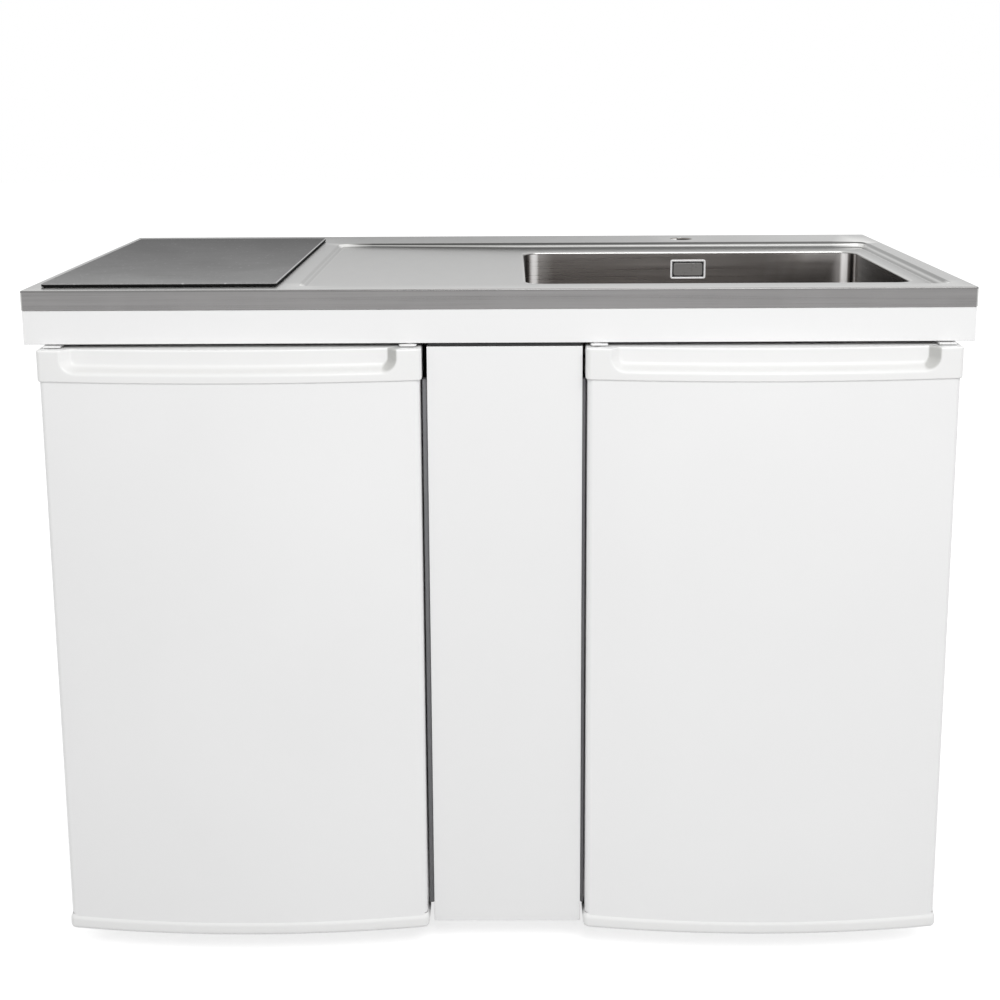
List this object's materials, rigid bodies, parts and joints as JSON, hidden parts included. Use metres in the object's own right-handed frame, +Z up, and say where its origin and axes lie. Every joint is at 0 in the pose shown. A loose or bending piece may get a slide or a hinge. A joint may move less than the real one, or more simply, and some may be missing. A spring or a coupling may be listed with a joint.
{
  "type": "kitchenette unit with sink and hob",
  "caption": "Kitchenette unit: pressed steel worktop with a glass hob and a sink bowl, on an undercounter fridge and a cupboard with bowed white doors and scooped grips.",
  "frame": {"origin": "on the floor under the feet, at the middle of the unit's width and of its depth over the bowed doors", "axes": "+X along the worktop to the right as seen from the front, +Y to the back, +Z up"},
  "size_m": [1.2, 0.6324, 0.9048],
  "materials": {
    "worktop_steel": "linen-rolled stainless steel",
    "bowl_steel": "satin stainless steel",
    "support_board": "raw chipboard",
    "white_board": "white melamine board",
    "black_rubber": "matt",
    "white_plumbing": "moulded",
    "hob_glass": "glass ceramic, polished",
    "zinc_steel": "zinc plated",
    "heating_coil": "ceramic fibre with coil",
    "circuit_board": "solder mask",
    "dark_casing": "dark grey enamel",
    "dark_board": "dark grey melamine board",
    "foam": "rigid insulating foam",
    "white_liner": "vacuum-formed",
    "shelf_glass": "toughened",
    "clear_plastic": "clear moulded",
    "black_enamel": "satin",
    "white_enamel": "gloss enamel",
    "white_trim": "moulded",
    "white_hinge": "enamelled"
  },
  "bodies": {
    "unit": {"worktop_sheet": "worktop_steel", "worktop_core": "support_board", "fascia_front": "white_board", "frame_rails": "white_board", "frame_back_rail": "white_board", "support_pads": "black_rubber", "sink_bowl": "bowl_steel", "overflow_plate": "bowl_steel", "overflow_duct": "white_plumbing", "waste_flange": "bowl_steel", "waste_body": "white_plumbing", "trap_body": "white_plumbing", "trap_cup": "white_plumbing", "drain_pipe": "white_plumbing", "hob_glass": "hob_glass", "hob_seal": "black_rubber", "hob_casing": "zinc_steel", "hob_zones": "heating_coil", "hob_control_board": "circuit_board", "hob_clamps": "zinc_steel", "fridge_casing": "dark_casing", "fridge_insulation": "foam", "fridge_liner": "white_liner", "fridge_shelves": "shelf_glass", "crisper_drawer": "clear_plastic", "ice_box": "white_liner", "thermostat_housing": "white_liner", "fridge_lamp": "shelf_glass", "compressor": "black_enamel", "compressor_tray": "zinc_steel", "condenser": "black_enamel", "fridge_hinges": "white_hinge", "cupboard_left_side": "dark_board", "cupboard_right_side": "dark_board", "cupboard_base": "white_board", "cupboard_back_panel": "white_board", "cupboard_rails": "white_board", "cupboard_shelf": "white_board", "shelf_pegs": "zinc_steel", "cupboard_hinges": "white_hinge", "filler_panel": "white_board", "filler_frame": "white_board", "filler_brackets": "zinc_steel", "levelling_feet": "black_rubber"},
    "fridge_door": {"fridge_door_skin": "white_enamel", "fridge_door_foam": "foam", "fridge_door_panel": "white_liner", "fridge_door_bins": "clear_plastic", "fridge_door_gasket": "black_rubber", "fridge_door_handle": "white_trim", "fridge_door_sill": "white_trim"},
    "cupboard_door": {"cupboard_door_skin": "white_enamel", "cupboard_door_core": "foam", "cupboard_door_panel": "white_liner", "cupboard_door_seal": "black_rubber", "cupboard_door_handle": "white_trim", "cupboard_door_sill": "white_trim"},
    "strainer": {"strainer_basket": "bowl_steel"},
    "flap": {"ice_box_flap": "white_liner"},
    "knob": {"thermostat_knob": "white_liner"}
  },
  "joints": [
    {"name": "fridge_door_swing", "type": "hinge", "parent": "unit", "child": "fridge_door", "pos_m": [-0.5665, -0.27475, 0.43], "axis": [0, 0, -1], "range_deg": [0, 110]},
    {"name": "cupboard_door_swing", "type": "hinge", "parent": "unit", "child": "cupboard_door", "pos_m": [0.5675, -0.27475, 0.43], "axis": [0, 0, 1], "range_deg": [0, 110]},
    {"name": "strainer_lift", "type": "slide", "parent": "unit", "child": "strainer", "axis": [0, 0, 1], "range_m": [0, 0.06]},
    {"name": "ice_flap_swing", "type": "hinge", "parent": "unit", "child": "flap", "pos_m": [-0.339, -0.05775, 0.771], "axis": [-1, 0, 0], "range_deg": [0, 85]},
    {"name": "thermostat_turn", "type": "hinge", "parent": "unit", "child": "knob", "pos_m": [-0.1585, -0.12675, 0.609], "axis": [0, -1, 0], "range_deg": [0, 270]}
  ]
}
